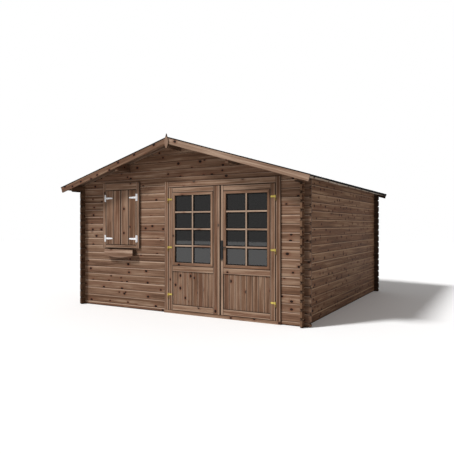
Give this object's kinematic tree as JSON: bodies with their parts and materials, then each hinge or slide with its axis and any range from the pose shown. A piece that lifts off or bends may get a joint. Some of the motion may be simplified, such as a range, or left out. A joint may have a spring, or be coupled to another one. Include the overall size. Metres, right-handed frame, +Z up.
{
  "type": "log cabin",
  "caption": "Garden log cabin with interlocking log walls, a low felt-covered gable roof, half-glazed doors and a shuttered window over a flower box.",
  "frame": {"origin": "on the ground, under the middle of the roof", "axes": "+X to the right seen from the front, +Y from the doors to the back, +Z up"},
  "size_m": [4.437, 4.6636, 2.7046],
  "materials": {
    "logs": "brown stained pine, planed",
    "roof_timber": "brown stained pine boards",
    "edge_boards": "light brown stained pine",
    "joinery": "brown stained pine joinery",
    "felt": "mineral roofing felt",
    "glass": "clear window glass",
    "brass": "brass plated steel",
    "iron": "black painted iron",
    "white_metal": "white painted steel"
  },
  "bodies": {
    "cabin": {"front_wall_sill": "logs", "front_wall_left": "logs", "front_wall_pier": "logs", "front_wall_right": "logs", "front_gable": "logs", "back_wall": "logs", "back_gable": "logs", "left_wall": "logs", "right_wall": "logs", "ridge_beam": "roof_timber", "purlins": "roof_timber", "left_roof_boards": "roof_timber", "right_roof_boards": "roof_timber", "left_felt": "felt", "right_felt": "felt", "ridge_felt": "felt", "front_barge_boards": "edge_boards", "back_barge_boards": "edge_boards", "front_finial": "edge_boards", "back_finial": "edge_boards", "left_fascia": "edge_boards", "right_fascia": "edge_boards", "door_frame": "joinery", "door_trim": "joinery", "door_sill": "joinery", "door_hinge_posts": "brass", "window_frame": "joinery", "window_glass": "glass", "window_trim": "joinery", "shutter_hinge_plates": "white_metal", "flower_box": "joinery"},
    "left_door": {"left_door_frame": "joinery", "left_door_bead": "joinery", "left_door_glass": "glass", "left_door_panel": "joinery", "left_door_hinges": "brass", "door_cover_strip": "joinery"},
    "right_door": {"right_door_frame": "joinery", "right_door_bead": "joinery", "right_door_glass": "glass", "right_door_panel": "joinery", "right_door_hinges": "brass", "handle_plate": "iron"},
    "lever": {"handle_lever": "iron"},
    "left_shutter_wing": {"left_shutter": "joinery", "left_shutter_hinges": "white_metal"},
    "right_shutter_wing": {"right_shutter": "joinery", "right_shutter_hinges": "white_metal"}
  },
  "joints": [
    {"name": "left_door_swing", "type": "hinge", "parent": "cabin", "child": "left_door", "pos_m": [-0.1965, -2.0138, 0.99], "axis": [0, 0, -1], "range_deg": [0, 110]},
    {"name": "right_door_swing", "type": "hinge", "parent": "cabin", "child": "right_door", "pos_m": [1.6045, -2.0138, 0.99], "axis": [0, 0, 1], "range_deg": [0, 110]},
    {"name": "lever_turn", "type": "hinge", "parent": "right_door", "child": "lever", "pos_m": [0.76, -2.0112, 1.03], "axis": [0, 1, 0], "range_deg": [0, 45]},
    {"name": "left_shutter_swing", "type": "hinge", "parent": "cabin", "child": "left_shutter_wing", "pos_m": [-1.4805, -2.0218, 1.481], "axis": [0, 0, -1], "range_deg": [0, 170]},
    {"name": "right_shutter_swing", "type": "hinge", "parent": "cabin", "child": "right_shutter_wing", "pos_m": [-0.8295, -2.0218, 1.481], "axis": [0, 0, 1], "range_deg": [0, 170]}
  ]
}
